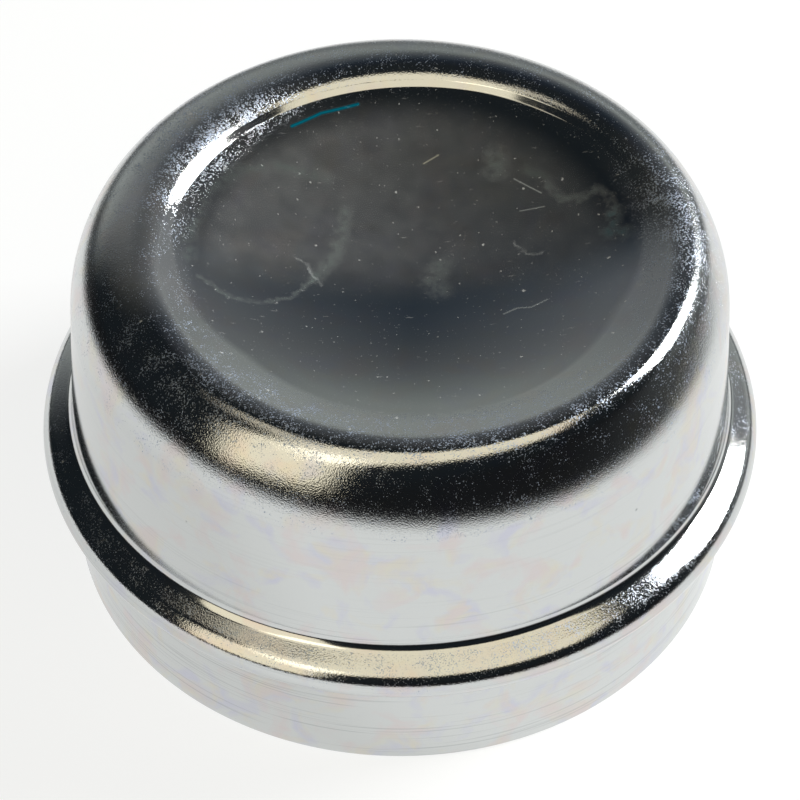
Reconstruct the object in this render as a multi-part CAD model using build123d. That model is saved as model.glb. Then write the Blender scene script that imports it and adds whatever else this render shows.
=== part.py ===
from build123d import *
import os
from math import asin, cos, degrees, radians, sin

# Hub grease cap: one steel sheet, deep drawn into a cup, with a seating bead folded into its wall
# and a dished end. It is driven mouth first into the bore of a wheel hub until the bead seats.
# Lengths are in millimetres and angles in degrees. The axis is +Z, and the origin is the centre of
# the open mouth, on which the cap stands.

# Sheet, and the skirt that presses into the hub
SHEET = 0.8
SKIRT_DIAMETER = 50.4
SEAT_HEIGHT = 9.5
MOUTH_EDGE_RADIUS = 0.3

# Folded bead: how far it stands out from the skirt, and the tilt of its upper face
BEAD_PROJECTION = 2.25
BEAD_SLOPE = 31.0

# Wall above the bead: its base lies a little inside the skirt, and it narrows upwards by its draft
WALL_SETBACK = 0.13
WALL_DRAFT = 2.8
OVERALL_HEIGHT = 30.6

# The shoulder tightens in two steps, at these tilts from the level, into the bend over the crown. Inside
# the crown a narrow rim falls straight, at its own slope, to the edge of the dish
SHOULDER_TILT = 52.0
CROWN_TILT = 26.0
RIM_SLOPE = 38.0
RIM_RUN = 0.7

# Inside radius of each bend, in order from the mouth to the axis
SEAT_BEND = 0.5
BEAD_EDGE_BEND = 0.15
BEAD_TOP_BEND = 1.15
WALL_ROOT_BEND = 1.2
SHOULDER_BEND = 8.0
SHOULDER_TOP_BEND = 4.7
CROWN_BEND = 2.4
DISH_EDGE_BEND = 0.5

# Dish in the end: a shallow round bowl
DISH_RADIUS = 46.0


def sine(tilt):
    """Sine of an angle in degrees."""
    return sin(radians(tilt))


def cosine(tilt):
    """Cosine of an angle in degrees."""
    return cos(radians(tilt))


# A bend that is hollow towards the cavity has its outside radius on the outer face
bead_edge_outside = BEAD_EDGE_BEND + SHEET
bead_top_outside = BEAD_TOP_BEND + SHEET
shoulder_outside = SHOULDER_BEND + SHEET
shoulder_top_outside = SHOULDER_TOP_BEND + SHEET
crown_outside = CROWN_BEND + SHEET

# Straight runs up to the bead and across its underside
skirt_radius = SKIRT_DIAMETER / 2
skirt_run = SEAT_HEIGHT - SEAT_BEND
seat_run = BEAD_PROJECTION - SEAT_BEND - bead_edge_outside

# The bead's slope is as long as it takes to bring the wall in to its setback
wall_tilt = 90 - WALL_DRAFT
bead_top_inward = bead_top_outside * (1 - sine(BEAD_SLOPE))
wall_root_inward = WALL_ROOT_BEND * (sine(wall_tilt) - sine(BEAD_SLOPE))
slope_inward = BEAD_PROJECTION + WALL_SETBACK - bead_top_inward - wall_root_inward
slope_run = slope_inward / cosine(BEAD_SLOPE)

# The wall is as long as it takes to bring the crown up to the overall height
bead_top_rise = bead_edge_outside + bead_top_outside * cosine(BEAD_SLOPE)
wall_root_rise = WALL_ROOT_BEND * (cosine(BEAD_SLOPE) - cosine(wall_tilt))
wall_base_height = SEAT_HEIGHT + bead_top_rise + slope_run * sine(BEAD_SLOPE) + wall_root_rise
shoulder_rise = shoulder_outside * (cosine(SHOULDER_TILT) - cosine(wall_tilt))
shoulder_top_rise = shoulder_top_outside * (cosine(CROWN_TILT) - cosine(SHOULDER_TILT))
crown_rise = crown_outside * (1 - cosine(CROWN_TILT))
wall_rise = OVERALL_HEIGHT - wall_base_height - shoulder_rise - shoulder_top_rise - crown_rise
wall_run = wall_rise / sine(wall_tilt)

# Radius of the crown's highest circle
wall_top_radius = skirt_radius - WALL_SETBACK - wall_run * cosine(wall_tilt)
shoulder_inward = shoulder_outside * (sine(wall_tilt) - sine(SHOULDER_TILT))
shoulder_top_inward = shoulder_top_outside * (sine(SHOULDER_TILT) - sine(CROWN_TILT))
crown_inward = crown_outside * sine(CROWN_TILT)
crown_radius = wall_top_radius - shoulder_inward - shoulder_top_inward - crown_inward

# The dish meets the bend at its edge without a kink, at the slope that its radius gives there
rim_inward = (crown_outside + DISH_EDGE_BEND) * sine(RIM_SLOPE) + RIM_RUN * cosine(RIM_SLOPE)
dish_edge_center_radius = crown_radius - rim_inward
dish_edge_slope = degrees(asin(dish_edge_center_radius / (DISH_RADIUS - DISH_EDGE_BEND)))


def straight(edge, length):
    """Straight run that carries on from the end of an edge."""
    return Line(edge @ 1, edge @ 1 + (edge % 1) * length)


def turn(edge, radius, angle):
    """Bend that carries on from the end of an edge, to the left where the angle is positive."""
    return JernArc(start=edge @ 1, tangent=edge % 1, radius=radius, arc_size=angle)


def face_meridian(depth):
    """Meridian of the sheet's face at this depth below its outside, from the mouth to the axis."""
    # A left-hand bend has its inside on the cavity's face, and a right-hand bend on the outer face
    left_gain = SHEET - depth
    right_gain = depth
    skirt = Line((skirt_radius - depth, 0), (skirt_radius - depth, skirt_run))
    seat_corner = turn(skirt, SEAT_BEND + right_gain, -90)
    seat = straight(seat_corner, seat_run)
    bead_edge = turn(seat, BEAD_EDGE_BEND + left_gain, 90)
    bead_top = turn(bead_edge, BEAD_TOP_BEND + left_gain, 90 - BEAD_SLOPE)
    bead_slope = straight(bead_top, slope_run)
    wall_root = turn(bead_slope, WALL_ROOT_BEND + right_gain, BEAD_SLOPE - wall_tilt)
    wall = straight(wall_root, wall_run)
    shoulder = turn(wall, SHOULDER_BEND + left_gain, wall_tilt - SHOULDER_TILT)
    shoulder_top = turn(shoulder, SHOULDER_TOP_BEND + left_gain, SHOULDER_TILT - CROWN_TILT)
    crown = turn(shoulder_top, CROWN_BEND + left_gain, CROWN_TILT + RIM_SLOPE)
    rim = straight(crown, RIM_RUN)
    dish_edge = turn(rim, DISH_EDGE_BEND + right_gain, dish_edge_slope - RIM_SLOPE)
    dish = turn(dish_edge, DISH_RADIUS + right_gain, -dish_edge_slope)
    bead = [seat_corner, seat, bead_edge, bead_top, bead_slope, wall_root]
    end = [shoulder, shoulder_top, crown, rim, dish_edge, dish]
    return [skirt] + bead + [wall] + end


def grease_cap():
    """The whole pressing: the sheet's section turned about the axis, with its mouth edge rounded."""
    outer = face_meridian(0)
    inner = face_meridian(SHEET)
    mouth = Line(inner[0] @ 0, outer[0] @ 0)
    axis = Line(outer[-1] @ 1, inner[-1] @ 1)
    section = make_face(outer + [axis] + inner + [mouth])
    cap = revolve(Plane.XZ * section, Axis.Z, 360)
    mouth_edge = cap.edges().filter_by(GeomType.CIRCLE).group_by(Axis.Z)[0].sort_by(SortBy.RADIUS)[-1]
    return fillet(mouth_edge, MOUTH_EDGE_RADIUS)


os.makedirs("parts", exist_ok=True)
export_step(grease_cap(), "parts/grease_cap.step")
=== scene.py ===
"""Studio scene of a hub grease cap: one bright zinc plated pressing, standing mouth down on a pale floor.

The classes hold their sizes in millimetres and their angles in degrees. Meshes, lamps and the camera are
placed in metres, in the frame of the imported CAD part.
"""

import logging
import math
from dataclasses import astuple, dataclass, field, replace
from enum import Enum
from functools import partial

import bmesh
import bpy
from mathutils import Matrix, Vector


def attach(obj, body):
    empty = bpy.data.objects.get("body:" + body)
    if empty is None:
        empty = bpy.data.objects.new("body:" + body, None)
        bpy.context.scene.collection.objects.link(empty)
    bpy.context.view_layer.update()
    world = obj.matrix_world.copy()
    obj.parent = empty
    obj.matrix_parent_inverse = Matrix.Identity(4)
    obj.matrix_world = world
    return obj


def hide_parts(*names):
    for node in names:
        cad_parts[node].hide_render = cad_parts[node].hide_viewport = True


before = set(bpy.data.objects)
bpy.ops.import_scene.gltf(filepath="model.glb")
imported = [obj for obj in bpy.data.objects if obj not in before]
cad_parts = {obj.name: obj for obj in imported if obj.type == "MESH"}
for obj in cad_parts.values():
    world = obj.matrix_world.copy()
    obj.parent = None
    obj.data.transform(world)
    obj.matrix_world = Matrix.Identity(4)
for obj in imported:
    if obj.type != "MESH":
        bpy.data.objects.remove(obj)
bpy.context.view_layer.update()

Source = bpy.types.Node | bpy.types.NodeSocket

LOG = logging.getLogger("grease_cap")
METRES_PER_MM = 0.001
NOISE_MEAN = 0.5
NODE = "grease_cap"


class Face(Enum):
    """The two faces of the sheet, by their depth below the outside, as a share of its thickness."""

    OUTER = 0.0
    INNER = 1.0


class Grain(Enum):
    """How much the press has roughened the sheet's grain, as a share of the most."""

    FLAT = 0.03
    WALL = 0.10
    FOLD = 0.60
    DRAWN = 1.0


def linear(hex_colour: str) -> tuple[float, float, float, float]:
    """Turns an sRGB hex colour into linear light.

    Args:
        hex_colour: six hex digits after a hash sign.

    Returns:
        Red, green, blue and an alpha of 1.
    """
    channels = [int(hex_colour[i : i + 2], 16) / 255 for i in (1, 3, 5)]
    light = [c / 12.92 if c <= 0.04045 else ((c + 0.055) / 1.055) ** 2.4 for c in channels]
    return (light[0], light[1], light[2], 1.0)


def smooth_step(low: float, high: float, value: float) -> float:
    """Smooth rise from 0 where the value is low to 1 where it is high."""
    share = min(1.0, max(0.0, (value - low) / (high - low)))
    return share * share * (3 - 2 * share)


def add_node(
    tree: bpy.types.NodeTree, kind: str, links: dict | None = None, **settings: object
) -> bpy.types.Node:
    """Adds a node to a tree, with its settings and what goes into its sockets.

    Args:
        tree: node tree of a material or of the world.
        kind: Blender's name for the type of node, without the ShaderNode in front.
        links: for an input's name or number, the output that feeds it or its constant value. A node
            stands for its first output.
        settings: the node's own properties.

    Returns:
        The new node.
    """
    node = tree.nodes.new(f"ShaderNode{kind}")
    for name, value in settings.items():
        setattr(node, name, value)
    for key, value in (links or {}).items():
        if isinstance(value, bpy.types.Node):
            value = value.outputs[0]
        if isinstance(value, bpy.types.NodeSocket):
            tree.links.new(value, node.inputs[key])
        else:
            node.inputs[key].default_value = value
    return node


def emptied(owner: bpy.types.ID) -> partial:
    """Clears the nodes of a material or of the world.

    Args:
        owner: the material or the world.

    Returns:
        What adds a node to its tree.
    """
    owner.use_nodes = True
    owner.node_tree.nodes.clear()
    return partial(add_node, owner.node_tree)


def point(add: partial) -> Source:
    """Reads the place of the shaded point in its object, in millimetres."""
    metres = add("TexCoord").outputs["Object"]
    return add("VectorMath", {0: metres, "Scale": 1 / METRES_PER_MM}, operation="SCALE")


def shaken(add: partial, place: Source, noise: bpy.types.Node, reach: float) -> Source:
    """Moves a place about by a noise.

    Args:
        add: adds a node to the tree.
        place: the place.
        noise: node of the noise.
        reach: how far its colours move the place.

    Returns:
        The place where it ends up.
    """
    centred = {0: noise.outputs["Color"], 1: (NOISE_MEAN,) * 3}
    push = add("VectorMath", centred, operation="SUBTRACT")
    return add("VectorMath", {0: push, 1: (reach,) * 3, 2: place}, operation="MULTIPLY_ADD")


def toward(azimuth: float, elevation: float) -> Vector:
    """Finds a direction from the cap.

    Args:
        azimuth: turn to the right from the camera's side.
        elevation: angle above the level.

    Returns:
        The unit vector.
    """
    a = math.radians(azimuth)
    e = math.radians(elevation)
    return Vector((math.sin(a) * math.cos(e), -math.cos(a) * math.cos(e), math.sin(e)))


@dataclass
class Meridian:
    """A line drawn in the X-Z half plane by straight runs and bends, each one tangent to the last."""

    mesh: bmesh.types.BMesh
    tip: bmesh.types.BMVert
    heading: float
    run_steps: int
    bend_steps: int

    def mark(self, vert: bmesh.types.BMVert, grain: Grain) -> None:
        """Notes on a vertex the line's heading there and the sheet's grain.

        Args:
            vert: vertex of the line.
            grain: grain of the sheet there.
        """
        layers = self.mesh.verts.layers.float
        vert[layers["heading"]] = self.heading
        vert[layers["grain"]] = grain.value

    def run(self, length: float, grain: Grain) -> None:
        """Carries the line straight on.

        Args:
            length: length of the run.
            grain: grain of the sheet along it.
        """
        turn = math.radians(self.heading)
        stride = Vector((math.cos(turn), 0, math.sin(turn))) * (length / self.run_steps)
        for _ in range(self.run_steps):
            self.tip = bmesh.ops.extrude_vert_indiv(self.mesh, verts=[self.tip])["verts"][0]
            bmesh.ops.translate(self.mesh, verts=[self.tip], vec=stride)
            self.mark(self.tip, grain)

    def bend(self, radius: float, angle: float, grain: Grain) -> None:
        """Carries the line on round a bend.

        Args:
            radius: radius of the bend on this face of the sheet.
            angle: change of heading, positive to the left.
            grain: grain of the sheet round the bend.
        """
        side = math.radians(self.heading + math.copysign(90, angle))
        centre = self.tip.co + Vector((math.cos(side), 0, math.sin(side))) * radius
        step = angle / self.bend_steps
        for _ in range(self.bend_steps):
            swept = bmesh.ops.spin(
                self.mesh, geom=[self.tip], cent=centre, axis=(0, -1, 0), angle=math.radians(step), steps=1
            )
            self.tip = next(part for part in swept["geom_last"] if isinstance(part, bmesh.types.BMVert))
            self.heading += step
            self.mark(self.tip, grain)


@dataclass(frozen=True)
class Fade:
    """How one value follows another: it goes from first to last while the other goes from start to end."""

    start: float
    end: float
    first: float = 0.0
    last: float = 1.0

    def reading(self, source: Source) -> dict:
        """What a Map Range node takes to follow an output."""
        return {0: source, 1: self.start, 2: self.end, 3: self.first, 4: self.last}


@dataclass(frozen=True)
class Mark:
    """A dried smear or a scratch on the dish, as a line through points. A calm one has a clean edge."""

    points: tuple[tuple[float, float], ...]
    width: float
    share: float
    colour: str = "#9FB0AC"
    calm: bool = False


@dataclass(frozen=True)
class Scatter:
    """Specks scattered over a face. Stretched ones are hairline scratches with one heading."""

    spacing: float
    radius: float
    share: float
    stretch: float = 1.0
    heading: float = 0.0


@dataclass(frozen=True)
class Ground:
    """What the layers of the finish read at each point: where it lies, and how the sheet lies there.

    Heading, grain and sky are the mesh's own attributes: the section's heading, how much the press has
    roughened the sheet, and how far it faces up. Flat is the place without its height, level is 1 on faces
    that look up, and patches is a slow noise.
    """

    place: Source
    flat: Source
    axes: bpy.types.Node
    heading: Source
    grain: Source
    sky: Source
    level: Source
    patches: Source


@dataclass(frozen=True)
class Wear:
    """Where the crest is worn: the distance from its middle, and the shares that the layers read."""

    out: Source
    handled: Source
    ahead: Source
    ring: Source
    rubbed: Source


@dataclass(frozen=True)
class BrightZinc:
    """Bright zinc plate on drawn steel, clear passivated.

    The plate is a mirror with a slight blue-grey cast. The clear film on it shows pale blotches of lavender,
    straw and pink. Where the press stretched the sheet its grain stands up as a fine orange peel, which
    breaks the edges of reflections into bright and dark flecks. A dried film dulls the dish, with smears,
    scratches and dust on it. A name that ends in reach is the distance over which a trace fades in.
    """

    plate: str = "#D6D9D9"
    lavender: str = "#CCCDDD"
    straw: str = "#DBD7C8"
    pink: str = "#D9D0D0"
    dust_colour: str = "#E8ECEC"
    pit_colour: str = "#8E9396"
    fleck_colour: str = "#B9C7DC"
    roughness: float = 0.10
    fleck_roughness: float = 0.60

    # How far a face looks up, for what lies only on some faces
    level: Fade = Fade(0.70, 0.90)
    topmost: Fade = Fade(0.80, 0.93)
    upper: Fade = Fade(0.45, 0.75)
    upright: Fade = Fade(0.40, 0.15)

    # Blotches of the passivation, fainter on faces that look up
    patch_size: float = 5 / 3
    blotch_size: float = 3.2
    blotch_edge: Fade = Fade(0.52, 0.66)
    blotch_strength: Fade = Fade(0.5, 0.9, 0.75, 0.3)

    # Lines that the die drew round the wall, plainest at its foot. The real ones are too fine to show, so
    # they are drawn as wide apart as it takes
    line_spacing: float = 0.16
    line_change: float = 0.07
    line_edge: Fade = Fade(0.60, 0.72)
    foot: Fade = Fade(18.0, 14.0, 0.06, 0.30)
    pits: Scatter = Scatter(1.9, 0.16, 0.6)

    # Grain that the press raised. The real one is too fine to show, so it is drawn as coarse as it takes
    grain_size: float = 0.11
    grain_depth: float = 0.013
    fleck_height: float = 0.8
    fleck_threshold: Fade = Fade(0.35, 0.65, 0.68, 0.58)
    fleck_step: float = 0.08
    fleck_share: float = 0.14
    chalk_share: float = 0.12

    # Wear on the crest: rubbed in front and at two places that hands hold, and smudged at the left
    crest_middle: tuple[float, float, float] = (1.2, -0.6, 0.0)
    crest_height: float = 29.5
    ring_reach: Fade = Fade(15.9, 18.0)
    inner_side: Fade = Fade(162.0, 178.0)
    front: Fade = Fade(-4.0, -15.0, 0.1, 0.9)
    rubs: tuple[tuple[float, float], ...] = ((-13.5, 9.5), (20.5, 1.0))
    rub_reach: Fade = Fade(12.0, 4.0)
    haze_share: float = 0.06
    smudge: tuple[float, float, float] = (-18.8, -1.0, 30.0)
    smudge_reach: Fade = Fade(8.5, 4.5, 0.0, 0.11)
    smudge_ring: Fade = Fade(16.5, 18.5)

    # Dried film over the back of the dish, clear of its edge, patchy and thicker at the left
    film_middle: tuple[float, float, float] = (0.55, -0.4, 28.0)
    film_reach: Fade = Fade(16.7, 13.4)
    film_back: Fade = Fade(-4.0, 1.5)
    film_side: Fade = Fade(-14.0, 14.0, 1.4, 0.7)
    film_patches: Fade = Fade(0.3, 0.7, 0.85, 1.15)
    film_share: float = 0.095

    # Smears with soft and broken edges, and scratches
    smear_ripple: float = 0.625
    smear_shake: float = 0.9
    smear_gaps: Fade = Fade(0.36, 0.58, 0.25, 1.0)
    smear_dye: float = 0.7
    calm_dye: float = 3.0
    marks: tuple[Mark, ...] = (
        Mark(((-4.1, 5.6), (-4.3, 3.2), (-4.9, 0.9), (-6.3, -1.3)), 0.80, 0.15),
        Mark(((-6.3, -1.3), (-8.0, -3.6), (-10.2, -4.7), (-12.6, -4.6), (-14.6, -3.2)), 0.30, 0.15),
        Mark(((-15.4, -1.4), (-15.4, 1.4), (-14.6, 4.4)), 0.75, 0.12),
        Mark(((-14.2, 5.6), (-12.2, 8.0), (-9.0, 9.0), (-5.6, 8.6)), 0.80, 0.09),
        Mark(((-7.7, 0.6), (-6.9, 0.1), (-6.5, -0.8), (-5.8, -1.9)), 0.18, 0.24, "#C4CCCE"),
        Mark(((-8.2, 12.6), (-6.0, 14.0), (-3.2, 15.0)), 0.18, 0.50, "#0C86A0", True),
        Mark(((3.1, 0.6), (2.4, -0.9), (3.0, -2.0)), 1.20, 0.14),
        Mark(((7.3, 10.3), (7.3, 9.4)), 1.40, 0.17),
        Mark(((9.4, 9.0), (11.0, 8.0)), 0.70, 0.10),
        Mark(((11.2, 7.2), (12.2, 5.9), (13.5, 5.5), (14.6, 6.1), (15.6, 5.2), (16.0, 3.6)), 0.55, 0.16),
        Mark(((16.0, 3.6), (15.6, 1.8), (16.6, 1.4)), 0.95, 0.15, "#5F97A3"),
        Mark(((8.6, 8.3), (10.6, 6.7)), 0.10, 0.30, "#D0D6D6", True),
        Mark(((9.0, 5.3), (10.8, 5.4)), 0.10, 0.25, "#D0D6D6", True),
        Mark(((1.8, 10.2), (2.9, 10.9)), 0.11, 0.30, "#DAD8C8", True),
        Mark(((7.6, -5.0), (8.6, -4.5), (9.6, -4.6), (10.8, -4.0)), 0.10, 0.30, "#D0D6D6", True),
        Mark(((8.5, 2.4), (9.4, 1.1), (10.6, 0.9)), 0.20, 0.22, "#C4CCCE"),
    )

    # Dust and hairline scratches, of crumpled outline
    crumple_size: float = 0.2
    crumple: float = 0.3
    speck_luck: tuple[float, float] = (0.95, 1.55)
    speck_core: float = 0.4
    dust: tuple[Scatter, ...] = (
        Scatter(3.1, 0.15, 0.50),
        Scatter(1.5, 0.09, 0.32),
        Scatter(1.0, 0.07, 0.20),
        Scatter(0.7, 0.05, 0.20),
        Scatter(1.2, 0.055, 0.15, 7.0, 12.0),
        Scatter(1.6, 0.060, 0.20, 6.0, 72.0),
        Scatter(1.4, 0.055, 0.15, 5.0, 140.0),
    )

    def ground(self, add: partial) -> Ground:
        """Reads the point's place and the mesh's attributes.

        Args:
            add: adds a node to the tree.

        Returns:
            The outputs that the layers share.
        """
        place = point(add)
        sky = add("Attribute", attribute_name="sky").outputs["Fac"]
        noise = add("TexNoise", {"Vector": place, "Scale": 1 / self.patch_size, "Detail": 2.0})
        return Ground(
            place=place,
            flat=add("VectorMath", {0: place, 1: (1, 1, 0)}, operation="MULTIPLY"),
            axes=add("SeparateXYZ", {0: place}),
            heading=add("Attribute", attribute_name="heading").outputs["Fac"],
            grain=add("Attribute", attribute_name="grain").outputs["Fac"],
            sky=sky,
            level=add("MapRange", self.level.reading(sky)),
            patches=noise,
        )

    def spread(self, add: partial, place: Source, mark: Mark) -> Source:
        """Finds how deep a point lies in a mark: 1 on its line, and 0 past its width.

        Args:
            add: adds a node to the tree.
            place: the point's place in the dish, flat.
            mark: smear or scratch.

        Returns:
            The output that holds the share.
        """
        depth = 0.0
        for start, end in zip(mark.points, mark.points[1:]):
            stretch = Vector((*end, 0)) - Vector((*start, 0))
            along = stretch / stretch.length_squared
            away = add("VectorMath", {0: place, 1: (*start, 0)}, operation="SUBTRACT")
            share = add("VectorMath", {0: away, 1: along}, operation="DOT_PRODUCT").outputs["Value"]
            held = add("Clamp", {0: share})
            foot = add("VectorMath", {0: stretch, "Scale": held}, operation="SCALE")
            gap = add("VectorMath", {0: away, 1: foot}, operation="DISTANCE").outputs["Value"]
            near = add("MapRange", {0: gap, 1: mark.width, 2: 0.0})
            depth = add("Math", {0: depth, 1: near}, operation="MAXIMUM")
        return depth

    def specks(self, add: partial, place: Source, crowd: Source, scatter: Scatter, flat: bool) -> Source:
        """Scatters specks of mixed sizes.

        Args:
            add: adds a node to the tree.
            place: the point's place.
            crowd: how thick they lie there, about 0.5 on average.
            scatter: their sizes.
            flat: whether they lie on a level face, and not in the depth.

        Returns:
            The output that holds how much a speck covers.
        """
        drawn = add(
            "Mapping",
            {
                "Vector": place,
                "Rotation": (0, 0, math.radians(scatter.heading)),
                "Scale": (1 / scatter.stretch / scatter.spacing, 1 / scatter.spacing, 1 / scatter.spacing),
            },
        )
        cells = add(
            "TexVoronoi",
            {"Vector": drawn, "Scale": 1.0},
            voronoi_dimensions="2D" if flat else "3D",
        )
        draw = add("SeparateColor", {0: cells.outputs["Color"]})
        luck = add("Math", {0: draw, 1: crowd}, operation="ADD")
        size = add(
            "MapRange",
            Fade(*self.speck_luck, 0.0, scatter.radius / scatter.spacing).reading(luck),
            interpolation_type="SMOOTHSTEP",
        )
        core = add("Math", {0: size, 1: self.speck_core}, operation="MULTIPLY")
        return add(
            "MapRange",
            {0: cells.outputs["Distance"], 1: size, 2: core, 3: 0.0, 4: scatter.share},
        )

    def passivated(self, add: partial, ground: Ground) -> Source:
        """Tints the plate with the pale blotches of its clear passivation.

        Args:
            add: adds a node to the tree.
            ground: what the layers share.

        Returns:
            The output that holds the colour.
        """
        strength = add("MapRange", self.blotch_strength.reading(ground.sky))
        tint = linear(self.plate)
        for seed, shade in enumerate((self.lavender, self.straw, self.pink)):
            cloud = add(
                "TexNoise",
                {
                    "Vector": ground.place,
                    "W": 3.0 + seed,
                    "Scale": 1 / self.blotch_size,
                    "Detail": 4.0,
                    "Distortion": 0.6,
                },
                noise_dimensions="4D",
            )
            edge = self.blotch_edge.reading(cloud)
            share = add("MapRange", edge | {4: strength})
            tint = add("Mix", {0: share, 6: tint, 7: linear(shade)}, data_type="RGBA").outputs[2]
        return tint

    def marred(self, add: partial, ground: Ground) -> Source:
        """Finds the lines that the die drew round the wall, and the pits in the plate there.

        Args:
            add: adds a node to the tree.
            ground: what the layers share.

        Returns:
            The output that holds their share.
        """
        pattern = (self.line_change, self.line_change, 1 / self.line_spacing)
        lines = add("VectorMath", {0: ground.place, 1: pattern}, operation="MULTIPLY")
        drawn = add("TexNoise", {"Vector": lines, "Scale": 1.0, "Detail": 1.0})
        foot = add("MapRange", self.foot.reading(ground.axes.outputs["Z"]))
        scored = add("MapRange", self.line_edge.reading(drawn) | {4: foot})
        pits = self.specks(add, ground.place, ground.patches, self.pits, False)
        either = add("Math", {0: scored, 1: pits}, operation="MAXIMUM")
        upright = add("MapRange", self.upright.reading(ground.sky))
        return add("Math", {0: either, 1: upright}, operation="MULTIPLY")

    def wear(self, add: partial, ground: Ground) -> Wear:
        """Finds where the crest is worn.

        Args:
            add: adds a node to the tree.
            ground: what the layers share.

        Returns:
            The outputs that tell the worn places.
        """
        handled = 0.0
        for rub in self.rubs:
            middle = (*rub, self.crest_height)
            gap = add("VectorMath", {0: ground.place, 1: middle}, operation="DISTANCE").outputs["Value"]
            near = add("MapRange", self.rub_reach.reading(gap))
            handled = add("Math", {0: handled, 1: near}, operation="MAXIMUM")
        front = add("MapRange", self.front.reading(ground.axes.outputs["Y"]))
        ahead = add("Math", {0: front, 1: handled}, operation="MAXIMUM")
        out = add("VectorMath", {0: ground.flat, 1: self.crest_middle}, operation="DISTANCE")
        round_dish = add("MapRange", self.ring_reach.reading(out.outputs["Value"]))
        ring = add("Math", {0: round_dish, 1: ground.level}, operation="MULTIPLY")
        inner = add("MapRange", self.inner_side.reading(ground.heading))
        turned_in = add("Math", {0: inner, 1: ahead}, operation="MULTIPLY")
        rubbed = add("Math", {0: turned_in, 1: ring}, operation="MULTIPLY")
        return Wear(out.outputs["Value"], handled, ahead, ring, rubbed)

    def flecks(self, add: partial, ground: Ground, wear: Wear) -> Source:
        """Finds the crystals of the raised grain that catch the light, thickest on the worn crest.

        Args:
            add: adds a node to the tree.
            ground: what the layers share.
            wear: where the crest is worn.

        Returns:
            The output that holds their share.
        """
        spots = add(
            "TexNoise",
            {"Vector": ground.place, "W": 7.0, "Scale": 1 / self.grain_size, "Detail": 2.0, "Roughness": 0.6},
            noise_dimensions="4D",
        )
        upper = add("MapRange", self.upper.reading(ground.sky))
        worn = add("Math", {0: upper, 1: wear.ahead}, operation="MULTIPLY")
        unworn = add("MapRange", self.fleck_threshold.reading(ground.patches))
        least = add("Math", {0: worn, 1: -self.fleck_step, 2: unworn}, operation="MULTIPLY_ADD")
        most = add("Math", {0: least, 1: self.fleck_step}, operation="ADD")
        crystals = add("MapRange", {0: spots, 1: least, 2: most})
        speckled = add("Math", {0: wear.ring, 1: ground.grain}, operation="MAXIMUM")
        return add("Math", {0: crystals, 1: speckled}, operation="MULTIPLY")

    def relief(self, add: partial, ground: Ground, wear: Wear, flecks: Source) -> Source:
        """Raises the grain, and the flecks where hands have rubbed.

        Args:
            add: adds a node to the tree.
            ground: what the layers share.
            wear: where the crest is worn.
            flecks: share of the flecks.

        Returns:
            The output that holds the bent normal.
        """
        peel = add("TexNoise", {"Vector": ground.place, "Scale": 1 / self.grain_size, "Detail": 1.0})
        grain = add("Math", {0: peel, 1: ground.grain}, operation="MULTIPLY")
        stands = add("Math", {0: flecks, 1: wear.handled}, operation="MULTIPLY")
        raised = add("Math", {0: stands, 1: self.fleck_height, 2: grain}, operation="MULTIPLY_ADD")
        height = {"Height": raised, "Distance": self.grain_depth * METRES_PER_MM, "Strength": 1.0}
        return add("Bump", height)

    def dulled(self, add: partial, ground: Ground, wear: Wear, flecks: Source) -> Source:
        """Finds how much the flecks, the rubbing and the smudge dull the plate.

        Args:
            add: adds a node to the tree.
            ground: what the layers share.
            wear: where the crest is worn.
            flecks: share of the flecks.

        Returns:
            The output that holds the share.
        """
        shares = {0: wear.rubbed, 1: self.chalk_share, 2: self.fleck_share}
        chalk = add("Math", shares, operation="MULTIPLY_ADD")
        flecked = add("Math", {0: flecks, 1: chalk}, operation="MULTIPLY")
        hazed = {0: wear.rubbed, 1: self.haze_share, 2: flecked}
        dull = add("Math", hazed, operation="MULTIPLY_ADD")
        gap = add("VectorMath", {0: ground.place, 1: self.smudge}, operation="DISTANCE").outputs["Value"]
        smudge = add("MapRange", self.smudge_reach.reading(gap))
        topmost = add("MapRange", self.topmost.reading(ground.sky))
        outer = add("MapRange", self.smudge_ring.reading(wear.out))
        crest = add("Math", {0: topmost, 1: outer}, operation="MULTIPLY")
        return add("Math", {0: smudge, 1: crest, 2: dull}, operation="MULTIPLY_ADD")

    def film(self, add: partial, ground: Ground) -> Source:
        """Finds how thick the dried film lies on the dish.

        Args:
            add: adds a node to the tree.
            ground: what the layers share.

        Returns:
            The output that holds the thickness, where 1 is the usual one.
        """
        gap = add("VectorMath", {0: ground.place, 1: self.film_middle}, operation="DISTANCE")
        soft = {"interpolation_type": "SMOOTHSTEP"}
        inside = add("MapRange", self.film_reach.reading(gap.outputs["Value"]), **soft)
        behind = add("MapRange", self.film_back.reading(ground.axes.outputs["Y"]), **soft)
        patchy = add("MapRange", self.film_patches.reading(ground.patches))
        side = add("MapRange", self.film_side.reading(ground.axes.outputs["X"]))
        thickness = inside
        for share in (behind, patchy, side):
            thickness = add("Math", {0: thickness, 1: share}, operation="MULTIPLY")
        return thickness

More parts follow.
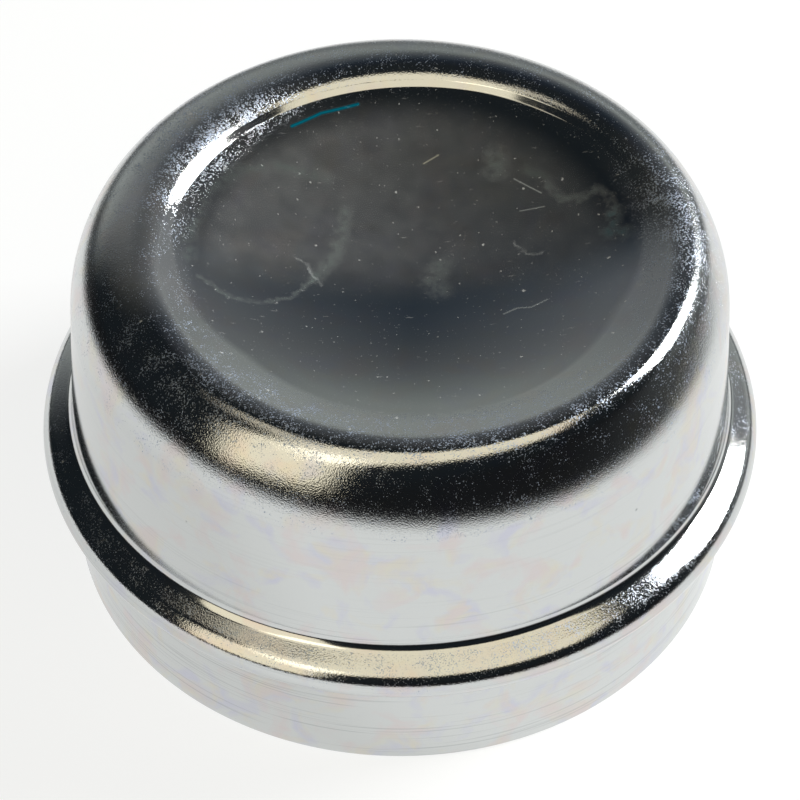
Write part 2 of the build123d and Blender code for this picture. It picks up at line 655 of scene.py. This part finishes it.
    def smeared(self, add: partial, ground: Ground, tint: Source, dull: Source) -> tuple[Source, Source]:
        """Lays on the smears and scratches.

        Args:
            add: adds a node to the tree.
            ground: what the layers share.
            tint: colour so far.
            dull: how dull the plate is so far.

        Returns:
            The colour and the dullness with them.
        """
        ragged = add("TexNoise", {"Vector": ground.place, "Scale": 1 / self.smear_ripple, "Detail": 4.0})
        moved = shaken(add, ground.place, ragged, self.smear_shake)
        dish = add("VectorMath", {0: moved, 1: (1, 1, 0)}, operation="MULTIPLY")
        broken = add("MapRange", self.smear_gaps.reading(ragged))
        for mark in self.marks:
            traced = self.spread(add, ground.flat if mark.calm else dish, mark)
            edged = {0: traced, 1: ground.level if mark.calm else broken}
            kept = add("Math", edged, operation="MULTIPLY")
            depth = add("Math", {0: kept, 1: ground.level}, operation="MULTIPLY")
            dull = add("Math", {0: depth, 1: mark.share, 2: dull}, operation="MULTIPLY_ADD")
            dye = {0: depth, 1: self.calm_dye if mark.calm else self.smear_dye}
            dyed = add("Math", dye, operation="MULTIPLY", use_clamp=True)
            blend = {0: dyed, 6: tint, 7: linear(mark.colour)}
            tint = add("Mix", blend, data_type="RGBA").outputs[2]
        return tint, dull

    def dusted(self, add: partial, ground: Ground, tint: Source, dull: Source) -> tuple[Source, Source]:
        """Lays on the dust and the hairline scratches.

        Args:
            add: adds a node to the tree.
            ground: what the layers share.
            tint: colour so far.
            dull: how dull the plate is so far.

        Returns:
            The colour and the dullness with them.
        """
        noise = add("TexNoise", {"Vector": ground.place, "Scale": 1 / self.crumple_size, "Detail": 2.0})
        lain = shaken(add, ground.place, noise, self.crumple)
        for scatter in self.dust:
            specks = self.specks(add, lain, ground.patches, scatter, True)
            cover = add("Math", {0: specks, 1: ground.level}, operation="MULTIPLY")
            blend = {0: cover, 6: tint, 7: linear(self.dust_colour)}
            tint = add("Mix", blend, data_type="RGBA").outputs[2]
            dull = add("Math", {0: dull, 1: cover}, operation="ADD")
        return tint, dull

    def material(self) -> bpy.types.Material:
        """Makes the plate's material.

        Returns:
            The material, which reads Object coordinates and the mesh's heading, grain and sky attributes.
        """
        finish = bpy.data.materials.new("bright_zinc_plate")
        add = emptied(finish)
        ground = self.ground(add)
        wear = self.wear(add, ground)
        flecks = self.flecks(add, ground, wear)
        tint = self.passivated(add, ground)
        for share, shade in ((self.marred(add, ground), self.pit_colour), (flecks, self.fleck_colour)):
            tint = add("Mix", {0: share, 6: tint, 7: linear(shade)}, data_type="RGBA").outputs[2]
        worn = self.dulled(add, ground, wear, flecks)
        filmed = {0: self.film(add, ground), 1: self.film_share, 2: worn}
        dull = add("Math", filmed, operation="MULTIPLY_ADD")
        tint, dull = self.smeared(add, ground, tint, dull)
        tint, dull = self.dusted(add, ground, tint, dull)
        metallic = add("Math", {0: 1.0, 1: dull}, operation="SUBTRACT", use_clamp=True)
        rough = add("MapRange", {0: flecks, 3: self.roughness, 4: self.fleck_roughness})
        shader = add(
            "BsdfPrincipled",
            {
                "Base Color": tint,
                "Metallic": metallic,
                "Roughness": rough,
                "Normal": self.relief(add, ground, wear, flecks),
            },
        )
        add("OutputMaterial", {"Surface": shader})
        return finish


@dataclass(frozen=True)
class Rim:
    """Slope and bends between the crown and the dish at one side of the cap."""

    slope: float
    crown_bend: float
    edge_bend: float

    def toward(self, other: "Rim", share: float) -> "Rim":
        """Blends this rim with another, where a share of 1 is the other."""
        ends = zip(astuple(self), astuple(other))
        return Rim(*(mine + (theirs - mine) * share for mine, theirs in ends))


@dataclass
class GreaseCap:
    """The whole pressing as one closed skin: the outer face, the trimmed mouth and the inner face.

    The section is the CAD part's: a sheet of one thickness, with a seating bead folded into its wall and a
    dished end. The press left the dish a little off the cap's axis and out of level, so the rim round it is
    narrow and steep at the back, and runs out softly in front.
    """

    sheet: float = 0.8
    skirt_diameter: float = 50.4
    seat_height: float = 9.5
    mouth_edge_radius: float = 0.3
    bead_projection: float = 2.25
    bead_slope: float = 31.0
    wall_setback: float = 0.13
    wall_draft: float = 2.8
    overall_height: float = 30.6
    shoulder_tilt: float = 52.0
    crown_tilt: float = 26.0
    rim_slope: float = 38.0
    rim_run: float = 0.7
    seat_bend: float = 0.5
    bead_edge_bend: float = 0.15
    bead_top_bend: float = 1.15
    wall_root_bend: float = 1.2
    shoulder_bend: float = 8.0
    shoulder_top_bend: float = 4.7
    crown_bend: float = 2.4
    dish_edge_bend: float = 0.5
    dish_radius: float = 46.0
    crown_offset: tuple[float, float] = (0.43, -1.05)
    dish_offset: tuple[float, float] = (0.6, -0.25)
    dish_start_tilt: float = 68.0
    dish_rise: float = -0.12
    dish_lift: float = 0.25
    rims: tuple[Rim, ...] = (
        Rim(47.0, 1.4, 0.6),
        Rim(40.0, 1.3, 0.5),
        Rim(27.5, 1.3, 3.0),
        Rim(23.8, 1.6, 12.0),
        Rim(21.3, 1.4, 10.0),
    )
    easy_side: float = -80.0
    rim_stages: int = 9
    rim_tries: int = 30
    turn_steps: int = 256
    run_steps: int = 8
    bend_steps: int = 16
    mouth_steps: int = 5
    weld_gap: float = 0.001
    sharp_angle: float = 50.0
    finish: BrightZinc = field(default_factory=BrightZinc)

    def rise(self, radius: float, lower_tilt: float, upper_tilt: float) -> float:
        """Height gained round a bend between two tilts from the level."""
        return radius * (math.cos(math.radians(lower_tilt)) - math.cos(math.radians(upper_tilt)))

    def inward(self, radius: float, lower_tilt: float, upper_tilt: float) -> float:
        """Distance towards the axis round a bend between two tilts from the level."""
        return radius * (math.sin(math.radians(upper_tilt)) - math.sin(math.radians(lower_tilt)))

    @property
    def wall_tilt(self) -> float:
        """Tilt of the wall from the level."""
        return 90 - self.wall_draft

    @property
    def slope_run(self) -> float:
        """Works out the bead's upper slope, which brings the wall in to its setback.

        Returns:
            Its length.
        """
        width = self.bead_projection + self.wall_setback
        width -= self.inward(self.bead_top_bend + self.sheet, self.bead_slope, 90)
        width -= self.inward(self.wall_root_bend, self.bead_slope, self.wall_tilt)
        return width / math.cos(math.radians(self.bead_slope))

    @property
    def wall_base_height(self) -> float:
        """Works out where the straight wall starts.

        Returns:
            Its height.
        """
        height = self.seat_height + self.bead_edge_bend + self.sheet
        height += (self.bead_top_bend + self.sheet) * math.cos(math.radians(self.bead_slope))
        height += self.slope_run * math.sin(math.radians(self.bead_slope))
        return height + self.rise(self.wall_root_bend, self.bead_slope, self.wall_tilt)

    @property
    def wall_run(self) -> float:
        """Works out the straight wall, which brings the crown up to the overall height.

        Returns:
            Its length.
        """
        height = self.overall_height - self.wall_base_height
        height -= self.rise(self.shoulder_bend + self.sheet, self.shoulder_tilt, self.wall_tilt)
        height -= self.rise(self.shoulder_top_bend + self.sheet, self.crown_tilt, self.shoulder_tilt)
        height -= self.rise(self.crown_bend + self.sheet, 0, self.crown_tilt)
        return height / math.sin(math.radians(self.wall_tilt))

    @property
    def dish_edge_center_radius(self) -> float:
        """Works out the circle on which the bend at the dish's edge has its centre.

        Returns:
            Its radius.
        """
        radius = self.skirt_diameter / 2 - self.wall_setback
        radius -= self.wall_run * math.cos(math.radians(self.wall_tilt))
        radius -= self.inward(self.shoulder_bend + self.sheet, self.shoulder_tilt, self.wall_tilt)
        radius -= self.inward(self.shoulder_top_bend + self.sheet, self.crown_tilt, self.shoulder_tilt)
        radius -= self.inward(self.crown_bend + self.sheet, 0, self.crown_tilt)
        radius -= self.inward(self.crown_bend + self.sheet + self.dish_edge_bend, 0, self.rim_slope)
        return radius - self.rim_run * math.cos(math.radians(self.rim_slope))

    @property
    def dish_edge_slope(self) -> float:
        """Slope of the dish where it meets the bend at its edge."""
        swing = self.dish_radius - self.dish_edge_bend
        return math.degrees(math.asin(self.dish_edge_center_radius / swing))

    @property
    def dish_radius_at_edge(self) -> float:
        """Radius of the circle on which the dish ends."""
        return self.dish_radius * math.sin(math.radians(self.dish_edge_slope))

    @property
    def dish_height(self) -> float:
        """Works out the dish's lowest point.

        Returns:
            Its height.
        """
        height = self.overall_height - self.rise(self.crown_bend + self.sheet, 0, self.rim_slope)
        height -= self.rim_run * math.sin(math.radians(self.rim_slope))
        height -= self.rise(self.dish_edge_bend, self.dish_edge_slope, self.rim_slope)
        return height - self.rise(self.dish_radius, 0, self.dish_edge_slope)

    def off_crest(self, tilt: float, crown_bend: float) -> float:
        """Finds how far out from the crest the outer face has a tilt.

        Args:
            tilt: the face's tilt from the level.
            crown_bend: inside radius of the crown's bend there.

        Returns:
            The distance.
        """
        lower = min(max(tilt, 0.0), self.crown_tilt)
        upper = min(max(tilt, self.crown_tilt), self.shoulder_tilt)
        outer = min(max(tilt, self.shoulder_tilt), self.wall_tilt)
        distance = self.inward(crown_bend + self.sheet, 0, lower)
        distance += self.inward(self.shoulder_top_bend + self.sheet, self.crown_tilt, upper)
        return distance + self.inward(self.shoulder_bend + self.sheet, self.shoulder_tilt, outer)

    def with_rim(self, share: float) -> "GreaseCap":
        """Makes the cap whose rim all round is the one at a side of this cap.

        Args:
            share: 0 for the steepest side of the rim and 1 for the easiest.

        Returns:
            The cap, whose rim is as long as it takes to reach the dish at the height that it has there.
        """
        along = share * (len(self.rims) - 1)
        first = min(int(along), len(self.rims) - 2)
        rim = self.rims[first].toward(self.rims[first + 1], along - first)
        height = self.dish_height + self.dish_rise + self.dish_lift * (share * 2 - 1)
        bends = {"rim_slope": rim.slope, "crown_bend": rim.crown_bend, "dish_edge_bend": rim.edge_bend}
        short, long = 0.0, self.dish_radius_at_edge / 2
        for _ in range(self.rim_tries):
            run = (short + long) / 2
            if replace(self, rim_run=run, **bends).dish_height > height:
                short = run
            else:
                long = run
        return replace(self, rim_run=short, **bends)

    def draw_face(self, mesh: bmesh.types.BMesh, face: Face) -> bmesh.types.BMVert:
        """Draws the meridian of one face of the sheet, from the mouth to the axis.

        Args:
            mesh: mesh that takes the line.
            face: which face of the sheet.

        Returns:
            The line's first vertex, at the mouth.
        """
        depth = face.value * self.sheet
        left_gain = self.sheet - depth
        right_gain = depth
        share = 2 if face is Face.INNER else 1
        first = mesh.verts.new((self.skirt_diameter / 2 - depth, 0, 0))
        line = Meridian(mesh, first, 90.0, self.run_steps // share, self.bend_steps // share)
        line.mark(first, Grain.WALL)
        line.run(self.seat_height - self.seat_bend, Grain.WALL)
        line.bend(self.seat_bend + right_gain, -90, Grain.FOLD)
        line.run(self.bead_projection - self.seat_bend - self.bead_edge_bend - self.sheet, Grain.FOLD)
        line.bend(self.bead_edge_bend + left_gain, 90, Grain.FOLD)
        line.bend(self.bead_top_bend + left_gain, 90 - self.bead_slope, Grain.FOLD)
        line.run(self.slope_run, Grain.FOLD)
        line.bend(self.wall_root_bend + right_gain, self.bead_slope - self.wall_tilt, Grain.WALL)
        line.run(self.wall_run, Grain.WALL)
        line.bend(self.shoulder_bend + left_gain, self.wall_tilt - self.shoulder_tilt, Grain.DRAWN)
        line.bend(self.shoulder_top_bend + left_gain, self.shoulder_tilt - self.crown_tilt, Grain.DRAWN)
        line.bend(self.crown_bend + left_gain, self.crown_tilt + self.rim_slope, Grain.DRAWN)
        line.run(self.rim_run, Grain.WALL)
        line.bend(self.dish_edge_bend + right_gain, self.dish_edge_slope - self.rim_slope, Grain.FLAT)
        line.bend(self.dish_radius + right_gain, -self.dish_edge_slope, Grain.FLAT)
        return first

    def section(self) -> bmesh.types.BMesh:
        """Draws the sheet's whole section, with its trimmed mouth rounded outside.

        Returns:
            A mesh of one open line, from the axis round the mouth and back to the axis.
        """
        mesh = bmesh.new()
        for layer in ("heading", "grain", "sky"):
            mesh.verts.layers.float.new(layer)
        for stage in range(self.rim_stages):
            mesh.verts.layers.float_vector.new(f"stage_{stage}")
        outer = self.draw_face(mesh, Face.OUTER)
        inner = self.draw_face(mesh, Face.INNER)
        bmesh.ops.contextual_create(mesh, geom=[outer, inner])
        bmesh.ops.bevel(
            mesh,
            geom=[outer],
            offset=self.mouth_edge_radius,
            offset_type="OFFSET",
            segments=self.mouth_steps,
            profile=0.5,
            affect="VERTICES",
            material=-1,
        )
        return mesh

    def staged_section(self) -> bmesh.types.BMesh:
        """Draws the section with the rim in stages from its steep side to its easy side.

        Returns:
            The mesh of the steepest stage, whose vertices hold their place and heading in every stage.
        """
        shares = (stage / (self.rim_stages - 1) for stage in range(self.rim_stages))
        stages = [self.with_rim(share).section() for share in shares]
        steepest = stages[0]
        for stage, drawn in enumerate(stages):
            layer = steepest.verts.layers.float_vector[f"stage_{stage}"]
            heading = drawn.verts.layers.float["heading"]
            for vert, twin in zip(steepest.verts, drawn.verts):
                vert[layer] = (twin.co.x, twin[heading], twin.co.z)
        for drawn in stages[1:]:
            drawn.free()
        return steepest

    def settle_dish(self, mesh: bmesh.types.BMesh) -> None:
        """Gives the rim its stage at each point round the cap, and moves the crown and the dish off the axis.

        Args:
            mesh: the turned skin of the steepest stage.
        """
        heading = mesh.verts.layers.float["heading"]
        stages = [mesh.verts.layers.float_vector[f"stage_{stage}"] for stage in range(self.rim_stages)]
        bends = [self.with_rim(stage / (self.rim_stages - 1)).crown_bend for stage in range(self.rim_stages)]
        easy = math.radians(self.easy_side)
        lean = math.atan2(self.crown_offset[1], self.crown_offset[0])
        crown_offset = Vector((*self.crown_offset, 0))
        dish_offset = Vector((*self.dish_offset, 0))
        edge = self.with_rim(0).dish_radius_at_edge
        for vert in mesh.verts:
            turn = math.atan2(vert.co.y, vert.co.x)
            reach = min(1.0, math.hypot(vert.co.x, vert.co.y) / edge)
            ease = (0.5 + 0.5 * reach * math.cos(turn - easy)) * (self.rim_stages - 1)
            stage = min(int(ease), self.rim_stages - 2)
            place = vert[stages[stage]].lerp(vert[stages[stage + 1]], ease - stage)
            bend = bends[stage] + (bends[stage + 1] - bends[stage]) * (ease - stage)
            vert.co = (place.x * math.cos(turn), place.x * math.sin(turn), place.z)
            vert[heading] = place.y
            if place.z > self.wall_base_height:
                pushed = 0.5 + 0.5 * math.cos(turn - lean)
                tilt = self.shoulder_tilt + (self.wall_tilt - self.shoulder_tilt) * pushed
                away = self.off_crest(180 - place.y, bend)
                vert.co += crown_offset * smooth_step(self.off_crest(tilt, bend), 0, away)
                vert.co += dish_offset * smooth_step(self.off_crest(self.dish_start_tilt, bend), 0, away)
        for stage in range(self.rim_stages):
            mesh.verts.layers.float_vector.remove(mesh.verts.layers.float_vector[f"stage_{stage}"])

    def build(self) -> bpy.types.Object:
        """Turns the section about the axis and dresses it.

        Returns:
            The cap's object, which rides on the root body and stands for the CAD node.
        """
        mesh = self.staged_section()
        bmesh.ops.spin(
            mesh,
            geom=mesh.verts[:] + mesh.edges[:],
            cent=(0, 0, 0),
            axis=(0, 0, 1),
            angle=math.tau,
            steps=self.turn_steps,
            use_merge=True,
        )
        bmesh.ops.remove_doubles(mesh, verts=mesh.verts, dist=self.weld_gap)
        self.settle_dish(mesh)
        bmesh.ops.recalc_face_normals(mesh, faces=mesh.faces)
        mesh.normal_update()
        sky = mesh.verts.layers.float["sky"]
        for vert in mesh.verts:
            vert[sky] = max(0.0, vert.normal.z)
        for face in mesh.faces:
            face.smooth = True
        for edge in mesh.edges:
            edge.smooth = edge.calc_face_angle(0) < math.radians(self.sharp_angle)
        bmesh.ops.scale(mesh, verts=mesh.verts, vec=(METRES_PER_MM,) * 3)
        skin = bpy.data.meshes.new("grease_cap_pressing")
        mesh.to_mesh(skin)
        mesh.free()
        skin.materials.append(self.finish.material())
        cap = bpy.data.objects.new("grease_cap_pressing", skin)
        bpy.context.scene.collection.objects.link(cap)
        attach(cap, "root")
        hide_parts(NODE)
        return cap


@dataclass(frozen=True)
class Softbox:
    """Rectangular lamp that faces the cap, placed by its direction from the cap."""

    name: str
    azimuth: float
    elevation: float
    distance: float
    width: float
    height: float
    radiance: float
    colour: str

    def place(self, target: Vector) -> bpy.types.Object:
        """Hangs the lamp.

        Args:
            target: point that it faces, in metres.

        Returns:
            The lamp's object.
        """
        lamp = bpy.data.lights.new(self.name, "AREA")
        lamp.shape = "RECTANGLE"
        lamp.size = self.width * METRES_PER_MM
        lamp.size_y = self.height * METRES_PER_MM
        lamp.energy = self.radiance * math.pi * lamp.size * lamp.size_y
        lamp.color = linear(self.colour)[:3]
        hung = bpy.data.objects.new(self.name, lamp)
        way = toward(self.azimuth, self.elevation)
        hung.location = target + way * (self.distance * METRES_PER_MM)
        hung.rotation_mode = "QUATERNION"
        hung.rotation_quaternion = way.to_track_quat("Z", "Y")
        hung.visible_camera = False
        bpy.context.scene.collection.objects.link(hung)
        return hung


@dataclass
class Studio:
    """Floor, room, lamps and camera around the cap.

    The camera sees a pale floor. What the cap mirrors of it is a painted pool of light round its foot, with
    painted shade beyond it. The room is dark, with a grey far wall. The shades of the left say how much
    sooner it gets dark there, for each millimetre or share to the left: on the floor, a painted shadow of the
    cap.
    """

    floor_size: float = 4000.0
    floor_colour: str = "#F2F3F3"
    floor_roughness: float = 0.9
    floor_glow: float = 0.90
    floor_mirrored: float = 0.78
    floor_shade: float = 0.26
    # Painted shade of the floor beyond the pool: near black in front, grey behind, and sooner on the left as
    # a painted shadow of the cap
    far_front_painted_shade: str = "#1A1B1D"
    far_back_painted_shade: str = "#747879"
    far_back: Fade = Fade(-100.0, 200.0)
    left_floor_painted_shadow: float = 0.8

    # The painted pool of light's distances, its middle to the left of the cap, its lean, and its squeeze on
    # three sides
    pool_edge: Fade = Fade(88.0, 138.0)
    pool_shift: float = 12.0
    pool_lean: float = 0.25
    squeeze_right: float = 1.3
    squeeze_left: float = 1.0
    squeeze_front: float = 1.25

    # The room's shades, by the angle up from the front and over to the back. The far wall starts at a share
    # of a direction that goes back, and its flanks are paler low down, by the share of the half turn
    room_strength: float = 1.5
    room: tuple[tuple[float, str], ...] = (
        (0.0, "#14181B"),
        (8.0, "#1A1F22"),
        (36.0, "#1E2427"),
        (80.0, "#161C24"),
        (134.0, "#161C24"),
        (140.7, "#262D34"),
        (145.7, "#2A3037"),
        (150.7, "#31363B"),
        (155.7, "#3D4043"),
        (160.7, "#4A4D4F"),
        (165.7, "#5A5E5D"),
        (170.7, "#6A6E6C"),
        (175.7, "#747876"),
    )
    far_wall: Fade = Fade(0.25, 0.65)
    flank_turn: Fade = Fade(0.735, 0.835)
    flank_glow: float = 0.14
    left_room_shade: float = 0.4

    camera_target_height: float = 12.1
    camera_elevation: float = 47.39
    camera_distance: float = 302.5
    camera_lens: float = 177.2
    camera_clip: float = 10.0
    lamp_height: float = 20.0
    lamps: tuple[Softbox, ...] = (
        Softbox("key_right", 107.0, 27.0, 600.0, 250.0, 310.0, 21.0, "#FFFFFF"),
        Softbox("window_left", -40.0, 21.0, 600.0, 400.0, 480.0, 1.2, "#F7EBCF"),
        Softbox("band_above", 10.0, 51.0, 600.0, 940.0, 440.0, 1.1, "#F7EBCF"),
        Softbox("band_left", -68.0, 59.0, 600.0, 230.0, 120.0, 0.75, "#F0E4CB"),
    )

    def behind(self, add: partial, axes: bpy.types.Node, left_shade: float) -> Source:
        """Finds how far behind the cap a place or a direction counts as, less on the left.

        Args:
            add: adds a node to the tree.
            axes: node that parts the place or the direction.
            left_shade: what each step to the left takes off.

        Returns:
            The output that holds the distance.
        """
        left = add("Math", {0: axes.outputs["X"], 1: 0.0}, operation="MINIMUM")
        shaded = {0: left, 1: left_shade, 2: axes.outputs["Y"]}
        return add("Math", shaded, operation="MULTIPLY_ADD")

    def beyond_painted_pool(self, add: partial, axes: bpy.types.Node) -> Source:
        """Finds whether a place on the floor lies beyond the painted pool of light.

        Args:
            add: adds a node to the tree.
            axes: node that parts the place.

        Returns:
            The output that holds the share: 0 in the painted pool of light and 1 beyond it.
        """
        across = add("Math", {0: axes.outputs["X"], 1: self.pool_shift}, operation="ADD")
        leaning = {0: across, 1: -self.pool_lean, 2: axes.outputs["Y"]}
        along = add("Math", leaning, operation="MULTIPLY_ADD")
        right = add("Math", {0: across, 1: self.squeeze_right}, operation="MULTIPLY")
        left = add("Math", {0: across, 1: -self.squeeze_left}, operation="MULTIPLY")
        front = add("Math", {0: along, 1: -self.squeeze_front}, operation="MULTIPLY")
        wide = add("Math", {0: right, 1: left}, operation="MAXIMUM")
        deep = add("Math", {0: along, 1: front}, operation="MAXIMUM")
        oval = add("CombineXYZ", {0: wide, 1: deep})
        away = add("VectorMath", {0: oval}, operation="LENGTH").outputs["Value"]
        edge = self.pool_edge.reading(away)
        return add("MapRange", edge, interpolation_type="SMOOTHSTEP")

    def floor_paint(self) -> bpy.types.Material:
        """Makes the floor's matt paint, which gives the eye an even pale ground with a soft shadow, and gives
        the cap's mirror a painted pool of light round its foot, with painted shade beyond it.

        Returns:
            The material.
        """
        paint = bpy.data.materials.new("floor_paint_with_painted_pool")
        add = emptied(paint)
        axes = add("SeparateXYZ", {0: point(add)})
        # Painted shade beyond the pool, reaching in sooner on the left as a painted shadow of the cap
        back = self.far_back.reading(self.behind(add, axes, self.left_floor_painted_shadow))
        share = add("MapRange", back, interpolation_type="SMOOTHSTEP")
        ends = {0: share, 6: linear(self.far_front_painted_shade), 7: linear(self.far_back_painted_shade)}
        far = add("Mix", ends, data_type="RGBA").outputs[2]
        # Painted pool of light: the floor's colour is pale round the cap and painted shade beyond it, in the
        # mirror and in the diffuse part
        ends = {0: self.beyond_painted_pool(add, axes), 6: linear(self.floor_colour), 7: far}
        colour = add("Mix", ends, data_type="RGBA").outputs[2]
        shade = add("VectorMath", {0: colour, "Scale": self.floor_shade}, operation="SCALE")
        rays = add("LightPath").outputs
        ends = {0: rays["Is Camera Ray"], 6: colour, 7: linear(self.floor_colour)}
        pale = add("Mix", ends, data_type="RGBA").outputs[2]
        seen = add("Math", {0: rays["Is Camera Ray"], 1: self.floor_glow}, operation="MULTIPLY")
        sharp = {0: rays["Is Glossy Ray"], 1: rays["Is Transmission Ray"]}
        mirrored = add("Math", sharp, operation="MAXIMUM")
        strengths = {0: mirrored, 1: self.floor_mirrored, 2: seen}
        glow = add("Math", strengths, operation="MULTIPLY_ADD")
        shader = add(
            "BsdfPrincipled",
            {
                "Base Color": shade,
                "Roughness": self.floor_roughness,
                "Specular IOR Level": 0.0,
                "Emission Color": pale,
                "Emission Strength": glow,
            },
        )
        add("OutputMaterial", {"Surface": shader})
        return paint

    def lay_floor(self) -> bpy.types.Object:
        """Lays the floor.

        Returns:
            The floor's object.
        """
        mesh = bmesh.new()
        bmesh.ops.create_grid(mesh, x_segments=1, y_segments=1, size=self.floor_size / 2 * METRES_PER_MM)
        sheet = bpy.data.meshes.new("floor")
        mesh.to_mesh(sheet)
        mesh.free()
        sheet.materials.append(self.floor_paint())
        floor = bpy.data.objects.new("floor", sheet)
        bpy.context.scene.collection.objects.link(floor)
        return floor

    def turned_over(self, add: partial, axes: bpy.types.Node) -> Source:
        """Finds how far a direction is turned up from the front and over to the back.

        Args:
            add: adds a node to the tree.
            axes: node that parts the direction.

        Returns:
            The output that holds the share of the half turn.
        """
        forward = add("Math", {0: axes.outputs["Y"], 1: -1.0}, operation="MULTIPLY")
        angle = add("Math", {0: axes.outputs["Z"], 1: forward}, operation="ARCTAN2")
        rising = add("MapRange", {0: angle, 1: 0.0, 2: math.pi})
        dipping = add("Math", {0: angle, 1: -math.pi / 2}, operation="LESS_THAN")
        return add("Math", {0: rising, 1: dipping}, operation="MAXIMUM")

    def paint_room(self) -> bpy.types.World:
        """Paints the room that the cap mirrors: dark in front and overhead, with a grey far wall.

        Returns:
            The world.
        """
        room = bpy.data.worlds.new("studio_room")
        add = emptied(room)
        soft = {"interpolation_type": "SMOOTHSTEP"}
        axes = add("SeparateXYZ", {0: add("TexCoord").outputs["Generated"]})
        turn = self.turned_over(add, axes)
        ramp = add("ValToRGB", {0: turn})
        elements = ramp.color_ramp.elements
        while len(elements) < len(self.room):
            elements.new(1.0)
        for element, (angle, colour) in zip(elements, self.room):
            element.position = angle / 180
            element.color = linear(colour)
        sideways = add("Math", {0: axes.outputs["X"]}, operation="ABSOLUTE")
        low = add("MapRange", self.flank_turn.reading(turn), **soft)
        flank = add("Math", {0: sideways, 1: low}, operation="MULTIPLY")
        glow = add("VectorMath", {0: (self.flank_glow,) * 3, "Scale": flank}, operation="SCALE")
        wall = add("VectorMath", {0: ramp, 1: glow}, operation="ADD")
        behind = self.behind(add, axes, self.left_room_shade)
        facing = add("MapRange", self.far_wall.reading(behind), **soft)
        ends = {0: facing, 6: linear(self.room[0][1]), 7: wall}
        shade = add("Mix", ends, data_type="RGBA").outputs[2]
        back = add("Background", {"Color": shade, "Strength": self.room_strength})
        add("OutputWorld", {"Surface": back})
        bpy.context.scene.world = room
        return room

    def place_camera(self) -> bpy.types.Object:
        """Stands the camera at the photograph's angle.

        Returns:
            The camera's object.
        """
        lens = bpy.data.cameras.new("camera")
        lens.lens = self.camera_lens
        lens.clip_start = self.camera_clip * METRES_PER_MM
        camera = bpy.data.objects.new("camera", lens)
        way = toward(0.0, self.camera_elevation)
        target = Vector((0, 0, self.camera_target_height))
        camera.location = (target + way * self.camera_distance) * METRES_PER_MM
        camera.rotation_mode = "QUATERNION"
        camera.rotation_quaternion = (-way).to_track_quat("-Z", "Y")
        bpy.context.scene.collection.objects.link(camera)
        bpy.context.scene.camera = camera
        return camera

    def build(self) -> None:
        """Sets up the floor, the room, the lamps and the camera."""
        self.lay_floor()
        self.paint_room()
        target = Vector((0, 0, self.lamp_height)) * METRES_PER_MM
        for lamp in self.lamps:
            lamp.place(target)
        self.place_camera()
        bpy.context.scene.view_settings.view_transform = "Standard"


def main() -> None:
    """Builds the cap and the studio, and reports each piece."""
    logging.basicConfig(level=logging.INFO, format="%(name)s: %(message)s")
    cap = GreaseCap().build()
    LOG.info("%s: %d faces", cap.name, len(cap.data.polygons))
    Studio().build()
    LOG.info("studio: floor, room, lamps and camera")


if __name__ == "__main__":
    main()
